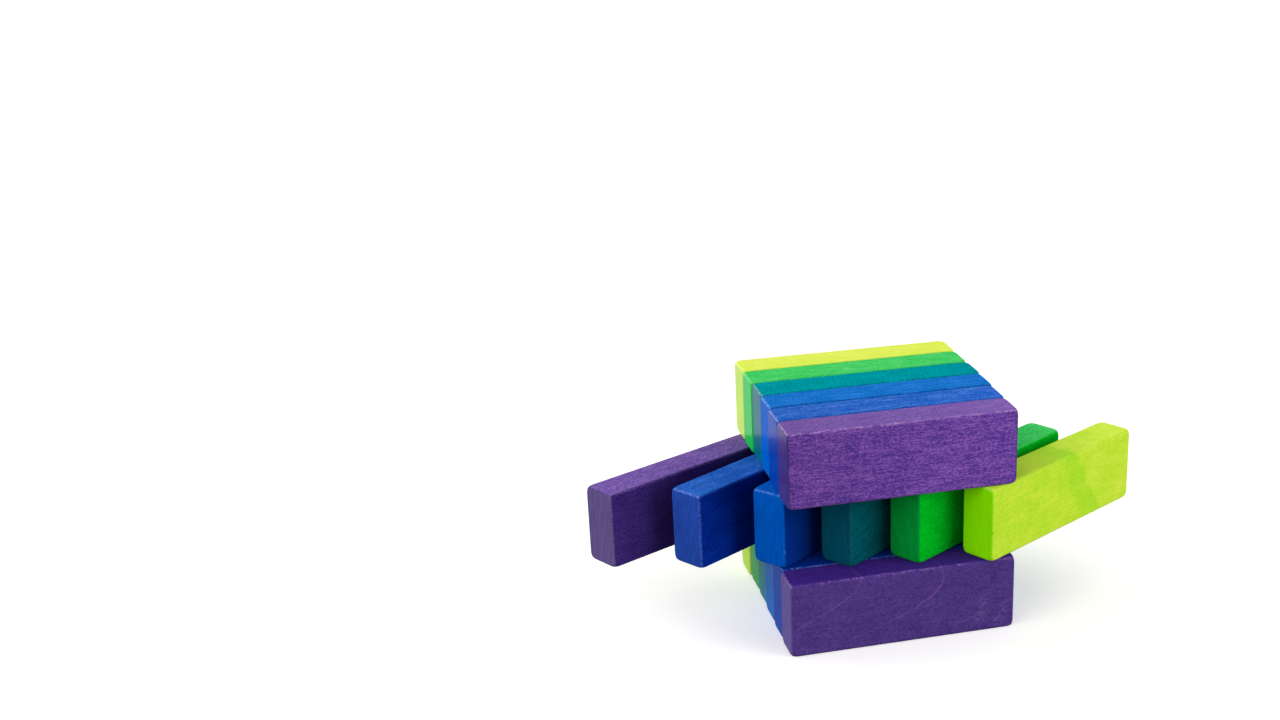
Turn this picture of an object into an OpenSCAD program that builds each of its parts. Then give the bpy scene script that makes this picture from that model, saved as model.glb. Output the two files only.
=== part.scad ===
// A set of eighteen loose stacking planks, three of each of six colours.
// They pack into a cube with edges as long as a plank. Here the middle layer is fanned out.
// Millimetres. X runs along the planks of the bottom layer, Y runs from front to back, Z is up.
// The origin is on the table, under the middle of the whole stack.

/* [Plank] */
// Length along the grain
plank_length = 120; // [90:1:160]
// Height of a plank that stands on its narrow side
plank_height = 40; // [30:1:60]
// Thickness of a plank
plank_thickness = 20; // [14:1:24]
// Radius of the four long edges
long_edge_radius = 1.2; // [0.4:0.1:3]
// Radius of the four edges round each end
end_edge_radius = 1.6; // [0.4:0.1:4]

/* [Top and bottom layers] */
// Air between neighbouring planks, side by side and one on another
seam = 0.2; // [0.1:0.1:1]
// How far the top layer sits to the right of the bottom layer
top_shift_right = -0.4; // [-10:0.1:10]
// How far the top layer sits behind the bottom layer
top_shift_back = 0.6; // [-10:0.1:10]

/* [Fanned middle layer] */
// Angle between the middle planks and the planks under them, in degrees
fan_turn = 33; // [25:1:45]
// Distance along X from one middle plank to the next
fan_pitch = 37; // [36:1:60]
// How far each middle plank stands in front of the one to its left
fan_step = 10; // [6:0.5:20]

/* [Hidden] */
layers = ["bottom", "middle", "top"];
colour_names = ["violet", "dark_blue", "blue", "teal", "green", "lime"];
stains = ["#5d3690", "#2454b0", "#1466c2", "#058a90", "#1fae4a", "#c6e03a"];
last = len(colour_names) - 1;
round_fn = 64;

// How far each plank of the top and bottom layers slipped to the right, from front to back
top_slip = [-1.3, -0.9, 0.1, 0.8, 0.5, 0.8];
bottom_slip = [-1.8, -1, -0.3, 0.8, 1.3, 0.9];

// How each middle plank differs from the even fan, from left to right:
// further right, further back, extra degrees of turn
fan_by_hand = [[-1.5, -0.5, -4], [0.5, -1.5, 0.5], [0.5, -0.5, 5], [-1.5, -2, 1.5], [-2, -0.5, -1.5],
    [-2, -0.5, -2.5]];

// Places seen from the middle of the bottom layer
plank_pitch = plank_thickness + seam;
layer_pitch = plank_height + seam;
layer_depth = last * plank_pitch + plank_thickness;
function row_y(i) = (i - last / 2) * plank_pitch;
function fan_x(i) = (i - last / 2) * fan_pitch + fan_by_hand[i][0];
function fan_y(i) = -(i - last / 2) * fan_step + fan_by_hand[i][1];
function fan_angle(i) = fan_turn + fan_by_hand[i][2];

// How far a turned plank reaches from its own middle
function reach_x(angle) = (plank_length * cos(angle) + plank_thickness * sin(angle)) / 2;
function reach_y(angle) = (plank_length * sin(angle) + plank_thickness * cos(angle)) / 2;

// The whole stack's left, right, front and back, and the middle between them
fan_left = min([for (i = [0:last]) fan_x(i) - reach_x(fan_angle(i))]);
fan_right = max([for (i = [0:last]) fan_x(i) + reach_x(fan_angle(i))]);
fan_front = min([for (i = [0:last]) fan_y(i) - reach_y(fan_angle(i))]);
fan_back = max([for (i = [0:last]) fan_y(i) + reach_y(fan_angle(i))]);
stack_front = min(fan_front, -layer_depth / 2, top_shift_back - layer_depth / 2);
stack_back = max(fan_back, layer_depth / 2, top_shift_back + layer_depth / 2);
stack_middle = [(fan_left + fan_right) / 2, (stack_front + stack_back) / 2];

// A flat outline with its four corners rounded, centred on the origin
module eased_rectangle(width, depth, radius) {
    union() {
        square([width - 2 * radius, depth], center = true);
        square([width, depth - 2 * radius], center = true);
        for (side = [-1, 1], end = [-1, 1])
            translate([side * (width / 2 - radius), end * (depth / 2 - radius)])
                circle(r = radius, $fn = round_fn);
    }
}

// One plank on its narrow side, lying along X, with its underside at Z = 0.
// It is what the three outlines of a sanded plank have in common: its cross-section,
// the outline seen from above and the outline seen from the side.
module plank() {
    translate([0, 0, plank_height / 2])
        intersection() {
            rotate([90, 0, 90])
                linear_extrude(height = plank_length, center = true)
                    eased_rectangle(plank_thickness, plank_height, long_edge_radius);
            linear_extrude(height = plank_height, center = true)
                eased_rectangle(plank_length, plank_thickness, end_edge_radius);
            rotate([90, 0, 0])
                linear_extrude(height = plank_thickness, center = true)
                    eased_rectangle(plank_length, plank_height, end_edge_radius);
        }
}

// Puts a plank in the stack: x and y are its middle, and layer 0 stands on the table
module place(x, y, layer, angle = 0) {
    translate([x - stack_middle[0], y - stack_middle[1], layer * layer_pitch])
        rotate([0, 0, angle])
            children();
}

// Front plank is violet, back plank is lime
module bottom_plank(i) {
    color(stains[i])
        place(bottom_slip[i], row_y(i), 0)
            plank();
}

// Left plank is violet, right plank is lime
module middle_plank(i) {
    color(stains[i])
        place(fan_x(i), fan_y(i), 1, fan_angle(i))
            plank();
}

// Same order as the bottom layer
module top_plank(i) {
    color(stains[i])
        place(top_shift_right + top_slip[i], top_shift_back + row_y(i), 2)
            plank();
}

for (i = [0:last]) {
    bottom_plank(i);
    middle_plank(i);
    top_plank(i);
}
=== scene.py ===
import math
import random

import bmesh
import bpy
from mathutils import Matrix, Vector, noise


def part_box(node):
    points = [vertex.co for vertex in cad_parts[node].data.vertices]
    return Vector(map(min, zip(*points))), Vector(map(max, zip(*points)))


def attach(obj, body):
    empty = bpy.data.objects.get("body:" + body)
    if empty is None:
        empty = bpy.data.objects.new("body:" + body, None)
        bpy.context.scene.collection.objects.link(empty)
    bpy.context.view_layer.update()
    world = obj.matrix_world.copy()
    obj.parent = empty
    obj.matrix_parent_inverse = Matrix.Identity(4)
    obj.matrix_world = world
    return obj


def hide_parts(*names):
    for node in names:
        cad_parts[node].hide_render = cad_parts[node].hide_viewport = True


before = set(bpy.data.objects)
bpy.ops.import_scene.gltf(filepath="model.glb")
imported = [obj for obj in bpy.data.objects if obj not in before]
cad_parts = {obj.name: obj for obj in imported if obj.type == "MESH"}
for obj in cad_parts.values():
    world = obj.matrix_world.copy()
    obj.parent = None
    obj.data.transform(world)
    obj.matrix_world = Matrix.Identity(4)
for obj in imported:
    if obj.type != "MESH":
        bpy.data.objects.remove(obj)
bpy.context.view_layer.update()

# Bottom layer
# Six maple planks side by side along X. Each is sawn and planed to 120 x 40 x 20 mm, its edges are
# eased on a sander, and it is dipped in water stain and waxed. Nothing fixes one plank to another.
MM = 0.001
PLANK_SIZE = (120.0, 20.0, 40.0)
HALF_PLANK = [size / 2 for size in PLANK_SIZE]
EASED_EDGE = 1.25
FLAT_BORDER = 0.3
GRID_STEP = 1.1
END_ROUNDING = 1.6


def linear(hex_colour):
    """An sRGB hex colour as linear red, green, blue and alpha."""
    parts = [int(hex_colour[i:i + 2], 16) / 255 for i in (1, 3, 5)]
    return [p / 12.92 if p <= 0.04045 else ((p + 0.055) / 1.055) ** 2.4 for p in parts] + [1.0]


def node(tree, kind, sockets=None, **settings):
    """Adds a node, with its settings, and with a value or a link for each socket that is named."""
    made = tree.nodes.new(kind)
    for name, value in settings.items():
        setattr(made, name, value)
    for socket, value in (sockets or {}).items():
        if isinstance(value, bpy.types.NodeSocket):
            tree.links.new(value, made.inputs[socket])
        else:
            made.inputs[socket].default_value = value
    return made


def planed_blank():
    """A plank centred on the origin, in millimetres: eased edges, and flat sides cut into a fine grid."""
    bm = bmesh.new()
    bmesh.ops.create_cube(bm, size=1)
    bmesh.ops.scale(bm, vec=PLANK_SIZE, verts=bm.verts)
    bmesh.ops.bevel(bm, geom=bm.edges[:], offset=EASED_EDGE, segments=4, profile=0.5,
                    affect="EDGES", material=-1)
    flats = sorted(bm.faces, key=lambda f: f.calc_area())[-6:]
    bmesh.ops.inset_individual(bm, faces=flats, thickness=FLAT_BORDER, use_even_offset=True)
    for axis, size in enumerate(PLANK_SIZE):
        along = [e for e in bm.edges if abs((e.verts[1].co - e.verts[0].co)[axis]) > size / 2]
        bmesh.ops.subdivide_edges(bm, edges=along, cuts=round(size / GRID_STEP), use_grid_fill=True)
    return bm


BLANK = planed_blank()


def place_in_stack(name):
    """Where a CAD plank lies: its middle, and its turn about Z, worked out from its box."""
    low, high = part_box(name)
    long_side, short_side = ((PLANK_SIZE[i] - 2 * END_ROUNDING) * MM for i in (0, 1))
    width, depth = ((high - low)[i] - 2 * END_ROUNDING * MM for i in (0, 1))
    turn = math.atan2(long_side * depth - short_side * width, long_side * width - short_side * depth)
    return (low + high) / 2, turn


# How far from its tip a corner is rounded and how much it loses there, and how far the arrises are
# rubbed down everywhere and how much further where they are worn, all in millimetres
CORNER_REACH = 4.0
CORNER_LOSS = 1.1
EVEN_RUB = 0.05
UNEVEN_RUB = 0.16
# The fewest and the most dents on a plank, and how far they reach and how deep they go in millimetres
DENT_COUNT = (8, 14)
DENT_REACH = (0.5, 1.3)
DENT_DEPTH = (0.06, 0.25)
# The rubbing comes and goes in long waves and short ones, given as turns to a millimetre. The short ones
# count for less, and a little is added to the sum, so that more of an arris is rubbed than not.
LONG_WAVES = 0.09
SHORT_WAVES = 0.4
SHORT_WAVE_SHARE = 0.6
USUAL_RUB = 0.1
# Each plank takes its wear from its own place in the noise, up to this far out in millimetres
NOISE_SPAN = 500
# Marks in the wood's colour, above 0 for bare wood and below 0 for darker wood: on the long arrises, where
# the darkening is painted shade for the seams between planks, on the lower arrises of the ends, in a scuff,
# and in a dent
LONG_ARRIS_PAINTED_SHADE = -0.15
LOWER_END_MARK = 0.1
SCUFF_MARK = 0.2
DENT_MARK = 0.6
# How much more the ends' upper arrises are marked where they are worn
END_MARK_SHARE = 0.5
# The front's upper arris is marked raggedly: its usual share of the mark, the swing either way, how
# often it swings to a millimetre, and the millimetres at each end that are left out
RAGGED_USUAL = 0.75
RAGGED_SWING = 0.9
RAGGED_WAVES = 0.16
RAGGED_MARGIN = 1.0
# The end grain's tone is full up to the first distance in from the end, and gone past the second
END_TONE_FULL = 0.21
END_TONE_OUT = 0.91


def knocks(rng):
    """Dents on the arrises: where each is, its reach and depth, and whether it shows pale or dark."""
    dents = []
    for _ in range(rng.randint(*DENT_COUNT)):
        spot = [rng.choice((-1, 1)) * half for half in HALF_PLANK]
        run = rng.choice((0, 0, 1, 1, 2, 2, 2))
        spot[run] = rng.uniform(-HALF_PLANK[run], HALF_PLANK[run])
        reach = rng.uniform(*DENT_REACH)
        depth = rng.uniform(*DENT_DEPTH)
        dents.append((Vector(spot), reach, depth, rng.choice((-1, 1, 1))))
    return dents


def eased_by_hand(bm, seed, rubbed, upright, ends, scuffs):
    """Wears the arrises unevenly, knocks small dents in them, and writes what the material needs to know:
    which side a spot is on, where wood is rubbed bare (above 0), and where it is darker (below 0): dye
    gathered in dents and on some arrises, and painted shade along the long arrises.
    Of the marks, rubbed is for the front's upper arris, upright for the four upright arrises, and ends
    for the upper arrises of the ends."""
    rng = random.Random(seed)
    shift = Vector([rng.uniform(-NOISE_SPAN, NOISE_SPAN) for _ in range(3)])
    dents = knocks(rng)
    wear_and_shade_layer = bm.verts.layers.float.new("wear_and_seam_shade")
    end_layer = bm.verts.layers.float.new("end_grain")
    broad_layer = bm.verts.layers.float.new("broad_side")
    bm.normal_update()
    for v in bm.verts:
        gap_x, gap_y, gap_z = (HALF_PLANK[i] - abs(v.co[i]) for i in range(3))
        v[end_layer] = max(0.0, min(1.0, (END_TONE_OUT - gap_x) / (END_TONE_OUT - END_TONE_FULL)))
        v[broad_layer] = max(0.0, min(1.0, 0.5 + 0.5 * (gap_z - gap_y) / EASED_EDGE))
        if v.co.y < 0 and gap_y < EASED_EDGE:
            for x, z, reach in scuffs:
                v[wear_and_shade_layer] += SCUFF_MARK * max(0.0, 1 - math.hypot(v.co.x - x, v.co.z - z) / reach)
        corner = max(0.0, 1 - math.hypot(gap_x, gap_y, gap_z) / CORNER_REACH)
        v.co -= v.normal * (CORNER_LOSS * corner ** 2)
        arris = max(0.0, 1 - sorted((gap_x, gap_y, gap_z))[1] / EASED_EDGE)
        if arris == 0:
            continue
        spot = v.co + shift
        uneven = noise.noise(spot * LONG_WAVES) + SHORT_WAVE_SHARE * noise.noise(spot * SHORT_WAVES)
        rub = max(0.0, uneven + USUAL_RUB)
        if gap_x >= EASED_EDGE:
            # painted shade along the long arrises, for the seams between planks
            mark = LONG_ARRIS_PAINTED_SHADE
        elif gap_z < EASED_EDGE:
            mark = ends + END_MARK_SHARE * rub if v.co.z > 0 else LOWER_END_MARK
        else:
            mark = upright
        if v.co.y < 0 and v.co.z > 0 and gap_x > RAGGED_MARGIN:
            mark += rubbed * (RAGGED_USUAL + RAGGED_SWING * noise.noise(spot * RAGGED_WAVES))
        dent, bare = 0.0, 0.0
        for middle, reach, depth, shows in dents:
            near = max(0.0, 1 - (v.co - middle).length / reach)
            dent = max(dent, depth * near)
            bare += shows * near
        v[wear_and_shade_layer] += arris * mark + DENT_MARK * bare
        v.co -= v.normal * (arris * (EVEN_RUB + UNEVEN_RUB * rub) + dent)


# A band of curly grain: how far it leans for each millimetre of height, how far it wavers, how far it
# reaches to the left and to the right of its middle, and its tone at some places on the way across
CURLY_LEAN = 0.6
CURLY_WAVER = 5.0
CURLY_BEFORE = 20.0
CURLY_AFTER = 10.0
CURLY_TONES = ((0.2, "#f7fdea"), (0.55, "#e2fad5"), (0.77, "#e2fad5"), (0.91, "#ffffff"))


def with_curly_band(tree, sides, parts, cloud, curly_at):
    """A leaning band of curly grain drank more stain, and the wood past it is paler."""
    leaning = node(tree, "ShaderNodeMath", {
        0: parts["Z"], 1: CURLY_LEAN, 2: parts["X"]}, operation="MULTIPLY_ADD").outputs[0]
    wavy = node(tree, "ShaderNodeMath", {
        0: cloud, 1: CURLY_WAVER, 2: leaning}, operation="MULTIPLY_ADD").outputs[0]
    across = node(tree, "ShaderNodeMapRange", {
        "Value": wavy, "From Min": curly_at - CURLY_BEFORE, "From Max": curly_at + CURLY_AFTER}).outputs[0]
    band = node(tree, "ShaderNodeValToRGB", {"Fac": across})
    band.color_ramp.interpolation = "EASE"
    stops = band.color_ramp.elements
    for index, (position, tone) in enumerate(CURLY_TONES):
        if index >= len(stops):
            stops.new(position)
        stops[index].position = position
        stops[index].color = linear(tone)
    return node(tree, "ShaderNodeVectorMath", {0: sides, 1: band.outputs[0]}, operation="MULTIPLY").outputs[0]


# Growth lines: how far apart they are and how far each reaches to both sides, in millimetres, and how
# far they are moved along, as a share of the gap
GROWTH_GAP = 57.0
GROWTH_REACH = 0.45
GROWTH_PHASE = 0.53
# They stand upright at this height in millimetres. Below it they bow to the left by the bow times the
# square of the way down, and the last is how much flatter they lie for each millimetre of that way.
GROWTH_UPRIGHT_AT = 18.4
GROWTH_BOW = 0.0523
GROWTH_FLATTER = 0.105
# They close up towards the upper edge by the first, lean by the second for each millimetre of the
# plank's thickness, and waver by up to the third in millimetres
GROWTH_CLOSING = 1.33
GROWTH_LEAN = 0.3
GROWTH_WAVER = 6.0
# The clouds break a line. It is whole where their noise is high, and where it is low only the share
# GROWTH_BROKEN of the line is left.
GROWTH_BROKEN_UNDER = 0.3
GROWTH_WHOLE_ABOVE = 0.6
GROWTH_BROKEN = 0.35
# It fades from the upper of these heights in millimetres to the lower one, where the share GROWTH_FAINT
# of it is left
GROWTH_FAINT_AT = -16.0
GROWTH_FULL_AT = 6.0
GROWTH_FAINT = 0.45


def with_growth_lines(tree, sides, parts, cloud, growth, growth_tone):
    """Two or three growth lines cross the broad side: upright near the upper edge, they lean further
    and further to the left below it."""
    spread = node(tree, "ShaderNodeMapRange", {
        "Value": parts["Z"], "From Max": HALF_PLANK[2], "To Min": 1.0, "To Max": GROWTH_CLOSING}).outputs[0]
    along = node(tree, "ShaderNodeMath", {0: parts["X"], 1: spread}, operation="MULTIPLY").outputs[0]
    below = node(tree, "ShaderNodeMath", {
        0: GROWTH_UPRIGHT_AT, 1: parts["Z"]}, operation="SUBTRACT").outputs[0]
    bowed = node(tree, "ShaderNodeMath", {0: below, 1: below}, operation="MULTIPLY").outputs[0]
    sweep = node(tree, "ShaderNodeMath", {
        0: bowed, 1: GROWTH_BOW, 2: along}, operation="MULTIPLY_ADD").outputs[0]
    lean = node(tree, "ShaderNodeMath", {
        0: parts["Y"], 1: GROWTH_LEAN, 2: sweep}, operation="MULTIPLY_ADD").outputs[0]
    wavy = node(tree, "ShaderNodeMath", {
        0: cloud, 1: GROWTH_WAVER, 2: lean}, operation="MULTIPLY_ADD").outputs[0]
    rings = node(tree, "ShaderNodeMath", {
        0: wavy, 1: 1 / GROWTH_GAP, 2: GROWTH_PHASE}, operation="MULTIPLY_ADD").outputs[0]
    saw = node(tree, "ShaderNodeMath", {0: rings, 1: 0.5}, operation="PINGPONG").outputs[0]
    # Where a line lies flatter, it takes up more of the way along, so its reach grows with its slope
    slope = node(tree, "ShaderNodeMath", {0: below, 1: GROWTH_FLATTER}, operation="MULTIPLY").outputs[0]
    slope = node(tree, "ShaderNodeCombineXYZ", {0: 1.0, 1: slope}).outputs[0]
    steepness = node(tree, "ShaderNodeVectorMath", {0: slope}, operation="LENGTH").outputs["Value"]
    reach = node(tree, "ShaderNodeMath", {
        0: steepness, 1: GROWTH_REACH / GROWTH_GAP}, operation="MULTIPLY").outputs[0]
    line = node(tree, "ShaderNodeMapRange", {
        "Value": saw, "From Min": reach, "From Max": 0.0}).outputs[0]
    broken = node(tree, "ShaderNodeMapRange", {
        "Value": cloud, "From Min": GROWTH_BROKEN_UNDER, "From Max": GROWTH_WHOLE_ABOVE,
        "To Min": GROWTH_BROKEN}).outputs[0]
    amount = node(tree, "ShaderNodeMath", {0: line, 1: broken}, operation="MULTIPLY").outputs[0]
    fading = node(tree, "ShaderNodeMapRange", {
        "Value": parts["Z"], "From Min": GROWTH_FAINT_AT, "From Max": GROWTH_FULL_AT,
        "To Min": GROWTH_FAINT * growth, "To Max": growth}).outputs[0]
    amount = node(tree, "ShaderNodeMath", {0: amount, 1: fading}, operation="MULTIPLY").outputs[0]
    return node(tree, "ShaderNodeMix", {
        "Factor": amount, 6: sides, 7: linear(growth_tone)}, data_type="RGBA").outputs[2]


# End grain: how long its streaks are along the plank, across it and up it in millimetres, how far they
# lean at most in radians, how many pores there are to a millimetre, and the sums of both noises that
# give the darkest tone and the palest
END_STREAK = (1000.0, 1.1, 12.0)
END_LEAN = 0.3
END_PORES = 1.1
END_DARKEST = 0.7
END_PALEST = 1.3


def end_grain(tree, local, shift, seed, end, end_swing):
    """Short growth lines stand nearly upright, about a millimetre apart, between fine pores."""
    lines_at = node(tree, "ShaderNodeMapping", {
        "Vector": local, "Location": shift, "Rotation": (END_LEAN * math.sin(seed), 0, 0),
        "Scale": END_STREAK}, vector_type="TEXTURE").outputs[0]
    lines = node(tree, "ShaderNodeTexNoise", {
        "Vector": lines_at, "Scale": 1.0, "Detail": 2.0}).outputs["Fac"]
    pores = node(tree, "ShaderNodeTexNoise", {
        "Vector": local, "Scale": END_PORES, "Detail": 2.0, "Roughness": 0.6}).outputs["Fac"]
    shade = node(tree, "ShaderNodeMath", {0: lines, 1: pores}, operation="ADD").outputs[0]
    shade = node(tree, "ShaderNodeMapRange", {
        "Value": shade, "From Min": END_DARKEST, "From Max": END_PALEST,
        "To Min": 1 - end_swing, "To Max": 1 + end_swing}).outputs[0]
    return node(tree, "ShaderNodeVectorMath", {
        0: linear(end)[:3], "Scale": shade}, operation="SCALE").outputs[0]


# Between its darkest spots at 0 and its palest at 1, most of the figure lies at the usual shade. The
# gain turns a noise that hardly leaves 0.25 to 0.75 into a swing of one either way.
USUAL_SHADE = 0.3
FIGURE_GAIN = 4.0
# How far the figure moves along X, Y and Z from one plank's seed to the next
SEED_STEP = (17.3, -9.1, 5.7)
# Bare wood shows in specks only: none of it where the mottle is under the first, all above the second
SPECKS_FROM = 0.4
SPECKS_TO = 0.58
# Where the mark has fallen to the first, gathered stain and painted seam shade leave the second as a share of
# the wood's tone
STAIN_AND_SHADE_MARK = -0.5
STAIN_AND_SHADE_TONE = 0.25
# How high the grain stands, in millimetres
GRAIN_HEIGHT = 0.03


def stained_maple(name, middle, turn, seed, broad, narrow, end, bare, swing, end_swing=0.22,
                  fleck=0.5, fleck_length=1.15, fibre=0.2, mottle=0.1, cloud=0.15, curl=0.0, calm=1.0,
                  drift=0.0, curly_at=None, growth=0.0, growth_tone="#000000", shine=0.0):
    """Close-grained maple, water-stained and waxed. It takes its colour unevenly: short flecks where pores
    drink it, lines along the fibres, and soft clouds. The broad sides, the narrow sides and the end grain are
    each given a colour of their own, which is partly the wood's tone there and partly painted light and
    shade."""
    material = bpy.data.materials.new(name)
    material.use_nodes = True
    tree = material.node_tree
    tree.nodes.clear()
    place = node(tree, "ShaderNodeTexCoord")
    local = node(tree, "ShaderNodeMapping", {
        "Vector": place.outputs["Object"], "Location": middle, "Rotation": (0, 0, turn),
        "Scale": (MM, MM, MM)}, vector_type="TEXTURE").outputs[0]
    parts = node(tree, "ShaderNodeSeparateXYZ", {0: local}).outputs
    shift = [step * seed for step in SEED_STEP]

    # Each layer of the figure: its name, its weight, how long a feature is along X, Y and Z in
    # millimetres, and how much it twists
    shade = USUAL_SHADE
    pattern = {}
    for layer, weight, size, twist in (
            ("fleck", fleck, (fleck_length, 0.7, 0.7), 0.0),
            ("fibre", fibre, (12.0, 0.65, 0.65), 0.0),
            ("mottle", mottle, (1.6, 1.2, 1.2), 0.3),
            ("cloud", cloud, (14.0, 10.0, 10.0), 0.5),
            ("curl", curl, (6.0, 18.0, 18.0), 1.3)):
        at = node(tree, "ShaderNodeMapping", {
            "Vector": local, "Location": shift, "Scale": [1 / s for s in size]}).outputs[0]
        pattern[layer] = node(tree, "ShaderNodeTexNoise", {
            "Vector": at, "Scale": 1.0, "Detail": 1.0, "Roughness": 0.5, "Distortion": twist}).outputs["Fac"]
        change = node(tree, "ShaderNodeMath", {
            0: pattern[layer], 1: FIGURE_GAIN * weight, 2: -FIGURE_GAIN * weight / 2},
            operation="MULTIPLY_ADD").outputs[0]
        shade = node(tree, "ShaderNodeMath", {0: change, 1: shade}, operation="ADD").outputs[0]
    # The figure is quieter on the narrow sides
    is_broad = node(tree, "ShaderNodeAttribute", attribute_name="broad_side").outputs["Fac"]
    strength = node(tree, "ShaderNodeMapRange", {"Value": is_broad, "To Min": calm}).outputs[0]
    change = node(tree, "ShaderNodeMath", {0: shade, 1: USUAL_SHADE}, operation="SUBTRACT").outputs[0]
    shade = node(tree, "ShaderNodeMath", {
        0: change, 1: strength, 2: USUAL_SHADE}, operation="MULTIPLY_ADD", use_clamp=True).outputs[0]
    darkest = [max(0.0, 1 - USUAL_SHADE * s) for s in swing]
    palest = [1 + (1 - USUAL_SHADE) * s for s in swing]
    tint = node(tree, "ShaderNodeMix", {
        "Factor": shade, 6: [*darkest, 1.0], 7: [*palest, 1.0]}, data_type="RGBA").outputs[2]
    # The broad and the narrow sides take their own colours: partly the stain's tone, and partly painted light
    # and shade, paler on lit sides and darker on shaded ones.
    side_colour_with_painted_light = node(tree, "ShaderNodeMix", {
        "Factor": is_broad, 6: linear(narrow), 7: linear(broad)}, data_type="RGBA").outputs[2]
    sides = node(tree, "ShaderNodeVectorMath", {0: side_colour_with_painted_light, 1: tint}, operation="MULTIPLY").outputs[0]
    if drift:
        # The sides' colour runs from darker at the plank's -X end to paler at its +X end, by the drift either
        # way
        paler = node(tree, "ShaderNodeMapRange", {
            "Value": parts["X"], "From Min": -HALF_PLANK[0], "From Max": HALF_PLANK[0],
            "To Min": 1 - drift, "To Max": 1 + drift}).outputs[0]
        sides = node(tree, "ShaderNodeVectorMath", {0: sides, "Scale": paler}, operation="SCALE").outputs[0]
    if curly_at is not None:
        sides = with_curly_band(tree, sides, parts, pattern["cloud"], curly_at)
    if growth:
        sides = with_growth_lines(tree, sides, parts, pattern["cloud"], growth, growth_tone)
    at_end = node(tree, "ShaderNodeAttribute", attribute_name="end_grain").outputs["Fac"]
    wood = node(tree, "ShaderNodeMix", {
        "Factor": at_end, 6: sides, 7: end_grain(tree, local, shift, seed, end, end_swing)},
        data_type="RGBA").outputs[2]

    # Rubbed arrises show paler wood in broken flecks, stain has gathered in some dents and on some arrises,
    # and the long arrises are darkened with painted shade for the seams between planks
    worn_and_shaded = node(tree, "ShaderNodeAttribute", attribute_name="wear_and_seam_shade").outputs["Fac"]
    speck = node(tree, "ShaderNodeMapRange", {
        "Value": pattern["mottle"], "From Min": SPECKS_FROM, "From Max": SPECKS_TO}).outputs[0]
    bare_amount = node(tree, "ShaderNodeMath", {
        0: worn_and_shaded, 1: speck}, operation="MULTIPLY", use_clamp=True).outputs[0]
    rubbed_wood = node(tree, "ShaderNodeMix", {
        "Factor": bare_amount, 6: wood, 7: linear(bare)}, data_type="RGBA").outputs[2]
    gathered_stain_and_seam_shade = node(tree, "ShaderNodeMapRange", {
        "Value": worn_and_shaded, "From Min": 0.0, "From Max": STAIN_AND_SHADE_MARK,
        "To Min": 1.0, "To Max": STAIN_AND_SHADE_TONE}).outputs[0]
    colour = node(tree, "ShaderNodeVectorMath", {
        0: rubbed_wood, "Scale": gathered_stain_and_seam_shade}, operation="SCALE").outputs[0]

    bump = node(tree, "ShaderNodeBump", {
        "Height": shade, "Strength": 0.4, "Distance": GRAIN_HEIGHT * MM}).outputs[0]
    # Sanding has burnished the end grain: it shines softly where light grazes it
    burnished = node(tree, "ShaderNodeMath", {0: at_end, 1: shine}, operation="MULTIPLY").outputs[0]
    shader = node(tree, "ShaderNodeBsdfPrincipled", {
        "Base Color": colour, "Roughness": 0.5, "Normal": bump, "IOR": 1.5, "Specular IOR Level": 0.0,
        "Coat Weight": burnished, "Coat Roughness": 0.22, "Coat IOR": 1.5})
    node(tree, "ShaderNodeOutputMaterial", {"Surface": shader.outputs[0]})
    return material


# How each stain takes: how far its red, green and blue swing between spots the wood drinks most and
# least, as a share of its tone, and the tone of rubbed wood
STAINS = {
    "violet": dict(swing=(1.1, 1.25, 0.7), bare="#b78ab8"),
    "dark_blue": dict(swing=(2.4, 1.1, 0.4), bare="#8fa4da"),
    "blue": dict(swing=(2.6, 0.3, 0.2), bare="#86ace0"),
    "teal": dict(swing=(2.6, 0.35, 0.35), bare="#84bcb8"),
    "green": dict(swing=(1.8, 0.3, 0.9), bare="#a0dc9c"),
    "lime": dict(swing=(0.3, 0.1, 1.2), bare="#f0f0a4"),
}


def lay_plank(layer, colour, seed, rubbed=0.0, upright=0.0, ends=0.7, scuffs=(), **look):
    """Makes one plank, and puts it where the CAD plank of its name lies. How it is worn is given as the marks
    of eased_by_hand and as scuffs on its front, each with its X, its Z and its reach in millimetres."""
    name = f"{layer}_{colour}_plank"
    middle, turn = place_in_stack(name)
    bm = BLANK.copy()
    eased_by_hand(bm, seed, rubbed, upright, ends, scuffs)
    bmesh.ops.scale(bm, vec=(MM, MM, MM), verts=bm.verts)
    bmesh.ops.rotate(bm, cent=(0, 0, 0), matrix=Matrix.Rotation(turn, 3, "Z"), verts=bm.verts)
    bmesh.ops.translate(bm, vec=middle, verts=bm.verts)
    mesh = bpy.data.meshes.new(f"{layer}_{colour}_maple_plank")
    bm.to_mesh(mesh)
    bm.free()
    mesh.shade_smooth()
    mesh.materials.append(
        stained_maple(f"{layer}_{colour}_maple", middle, turn, seed, **(STAINS[colour] | look)))
    plank = bpy.data.objects.new(mesh.name, mesh)
    bpy.context.scene.collection.objects.link(plank)
    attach(plank, name)
    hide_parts(name)


BOTTOM_SHINE = 0.16
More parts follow.
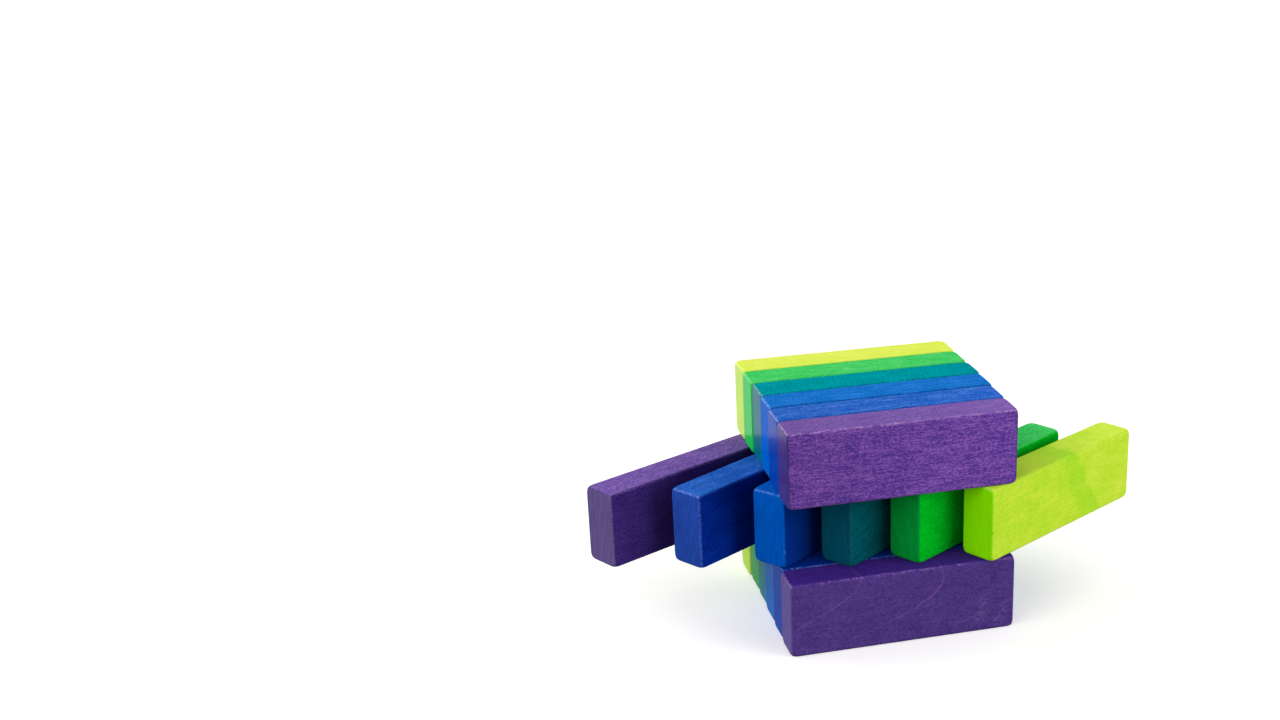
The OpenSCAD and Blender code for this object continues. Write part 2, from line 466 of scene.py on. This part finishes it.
# On most bottom planks the narrow upper sides are given darker colours than the broad ones: painted shade
# under the middle planks.
lay_plank("bottom", "violet", seed=1, broad="#4f3981", narrow="#422887", end="#624e99", bare="#b488bc",
          rubbed=0.55, shine=BOTTOM_SHINE, fleck=0.27, fibre=0.1, cloud=0.1,
          growth=0.42, growth_tone="#a8649c",
          scuffs=((33, -5, 3), (43, -4, 4), (41, -12, 4.5), (51, -15, 4), (54, -9, 3), (36, -10, 2.5),
                  (-53, -17, 2)))
lay_plank("bottom", "dark_blue", seed=2, broad="#0c3c98", narrow="#06308e", end="#0a44b0",
          rubbed=0.7, shine=BOTTOM_SHINE)
lay_plank("bottom", "blue", seed=3, broad="#064ca8", narrow="#0444a0", end="#0d68c2", shine=BOTTOM_SHINE)
lay_plank("bottom", "teal", seed=4, broad="#047c84", narrow="#02686e", end="#2c7a89", shine=BOTTOM_SHINE)
lay_plank("bottom", "green", seed=5, broad="#12a040", narrow="#18a044", end="#409a52", shine=BOTTOM_SHINE)
lay_plank("bottom", "lime", seed=6, broad="#b6d83c", narrow="#b4d83c", end="#b9e153",
          shine=BOTTOM_SHINE, end_swing=0.1)

# Middle layer
# Six more planks of the same make, laid across the bottom ones and fanned out by hand, so that
# most of each one stands clear of its neighbours.
# Their broad sides are given darker colours than their narrow ones: painted shade in the slots between the
# fanned planks. Their pale upright arrises are partly rubbed wood and partly painted highlight.
lay_plank("middle", "violet", seed=7, broad="#3c2970", narrow="#7c5eae", end="#64558b",
          rubbed=-0.3, upright=0.22, ends=-0.3)
lay_plank("middle", "dark_blue", seed=8, broad="#032988", narrow="#2d68c6", end="#284eb2",
          upright=0.2, swing=(2.2, 1.1, 0.7), mottle=0.12, cloud=0.25)
lay_plank("middle", "blue", seed=9, broad="#022e81", narrow="#0860c0", end="#025bc6")
lay_plank("middle", "teal", seed=10, broad="#02515a", narrow="#027880", end="#044f62",
          upright=0.05, swing=(2.6, 0.75, 0.75))
lay_plank("middle", "green", seed=11, broad="#02b422", narrow="#48da69", end="#049b38",
          swing=(1.8, 0.42, 0.9))
lay_plank("middle", "lime", seed=12, broad="#caeb3f", narrow="#d3f54b", end="#8fee02",
          upright=0.12, swing=(0.5, 0.1, 1.2), end_swing=0.07, fleck=0.25, fleck_length=1.9,
          cloud=0.2, curl=0.08, curly_at=19.0)

# Top layer
# The last six planks lie along X again, right over the bottom ones.
# The front one is rubbed pale along its upper front arris.
# The top planks' narrow upper sides are given paler colours than their broad sides: painted light from above.
lay_plank("top", "violet", seed=13, broad="#6b459b", narrow="#7c5daa", end="#403180",
          rubbed=1.15, upright=-0.45, ends=1.1, shine=0.38, swing=(1.4, 1.4, 0.7),
          fibre=0.33, mottle=0.08, cloud=0.11, calm=0.55, drift=0.1)
lay_plank("top", "dark_blue", seed=14, broad="#0c4ca8", narrow="#346ac8", end="#053fa8",
          ends=1.1, shine=0.35, fleck=0.4, fibre=0.4, drift=0.06)
lay_plank("top", "blue", seed=15, broad="#0a5cb8", narrow="#1d74cc", end="#005fc7",
          rubbed=-0.4, ends=1.1, shine=0.14, swing=(3.2, 0.75, 0.55), fibre=0.3)
lay_plank("top", "teal", seed=16, broad="#028088", narrow="#00959f", end="#006c7c",
          ends=1.1, shine=0.36, swing=(2.6, 0.8, 0.8))
lay_plank("top", "green", seed=17, broad="#28b450", narrow="#4ad169", end="#00bf49",
          shine=0.4, end_swing=0.14, fleck=0.35, fibre=0.3)
lay_plank("top", "lime", seed=18, broad="#cce048", narrow="#e3f45e", end="#c0e458",
          shine=0.35, end_swing=0.1, fleck=0.45, cloud=0.2)
BLANK.free()

# Studio
# A white paper floor that keeps the soft shadow, a white surrounding, and four large soft lights:
# three low ones, at the left, the back left and the front right, and a weak wide one overhead.
PAPER = (0.95, 0.93, 0.91)
PAPER_BOUNCE = 0.25
PAPER_GLOW = 0.35
FLOOR_RADIUS = 8.0
SURROUNDING = 0.25


def looked_at(tree):
    """1 where the camera, a reflection or a transparent body looks at the surface, and 0 for its light."""
    rays = node(tree, "ShaderNodeLightPath").outputs
    seen = rays["Is Camera Ray"]
    for other in ("Is Glossy Ray", "Is Transmission Ray"):
        seen = node(tree, "ShaderNodeMath", {0: seen, 1: rays[other]}, operation="MAXIMUM").outputs[0]
    return seen


paper = bpy.data.materials.new("white_background_paper")
paper.use_nodes = True
tree = paper.node_tree
tree.nodes.clear()
matt = node(tree, "ShaderNodeBsdfDiffuse", {"Color": (*PAPER, 1)})
glow = node(tree, "ShaderNodeEmission", {"Strength": PAPER_GLOW})
shown = node(tree, "ShaderNodeAddShader", {0: matt.outputs[0], 1: glow.outputs[0]})
bounce = node(tree, "ShaderNodeBsdfDiffuse", {"Color": (PAPER_BOUNCE, PAPER_BOUNCE, PAPER_BOUNCE, 1)})
sheet = node(tree, "ShaderNodeMixShader", {0: looked_at(tree), 1: bounce.outputs[0], 2: shown.outputs[0]})
node(tree, "ShaderNodeOutputMaterial", {"Surface": sheet.outputs[0]})

bm = bmesh.new()
bmesh.ops.create_circle(bm, cap_ends=True, segments=96, radius=FLOOR_RADIUS)
floor_mesh = bpy.data.meshes.new("paper_floor")
bm.to_mesh(floor_mesh)
bm.free()
floor_mesh.materials.append(paper)
floor = bpy.data.objects.new("paper_floor", floor_mesh)
bpy.context.scene.collection.objects.link(floor)

world = bpy.data.worlds.new("white_surrounding")
world.use_nodes = True
bpy.context.scene.world = world
tree = world.node_tree
tree.nodes.clear()
level = node(tree, "ShaderNodeMapRange", {
    "Value": looked_at(tree), "To Min": SURROUNDING, "To Max": 1.0}).outputs[0]
white = node(tree, "ShaderNodeBackground", {"Color": (1, 1, 1, 1), "Strength": level})
node(tree, "ShaderNodeOutputWorld", {"Surface": white.outputs[0]})

# Each lamp: name, strength, softness in degrees, and the direction it shines from
for name, strength, softness, shines_from in (
        ("left_softbox", 1.55, 60, (-0.85, -0.45, 0.28)),
        ("back_left_softbox", 1.9, 60, (-0.68, 0.68, 0.28)),
        ("right_softbox", 2.3, 45, (0.75, -0.63, 0.22)),
        ("ceiling_softbox", 0.7, 120, (0.0, 0.0, 1.0))):
    lamp = bpy.data.lights.new(name, "SUN")
    lamp.energy = strength
    lamp.angle = math.radians(softness)
    lamp_object = bpy.data.objects.new(name, lamp)
    lamp_object.rotation_euler = Vector(shines_from).to_track_quat("Z", "Y").to_euler()
    bpy.context.scene.collection.objects.link(lamp_object)

# The camera stands to the left of the stack's front and looks down on it. Its lens is shifted, so that
# the lens's axis meets the picture to the right of its middle and below it, as in the photograph.
LENS = 49.689
SENSOR_WIDTH = 36.0
CAMERA_PLACE = (-0.253923, -0.832189, 0.417280)
CAMERA_TURN = -17.325
CAMERA_TILT = 68.080
CAMERA_LEAN = -0.144
CAMERA_SHIFT = (-0.1875, 0.09375)
camera = bpy.data.objects.new("camera", bpy.data.cameras.new("camera"))
camera.data.lens = LENS
camera.data.sensor_width = SENSOR_WIDTH
camera.data.shift_x, camera.data.shift_y = CAMERA_SHIFT
camera.matrix_world = (
    Matrix.Translation(CAMERA_PLACE)
    @ Matrix.Rotation(math.radians(CAMERA_TURN), 4, "Z")
    @ Matrix.Rotation(math.radians(CAMERA_TILT), 4, "X")
    @ Matrix.Rotation(math.radians(CAMERA_LEAN), 4, "Z"))
bpy.context.scene.collection.objects.link(camera)
bpy.context.scene.camera = camera
bpy.context.scene.view_settings.view_transform = "Standard"
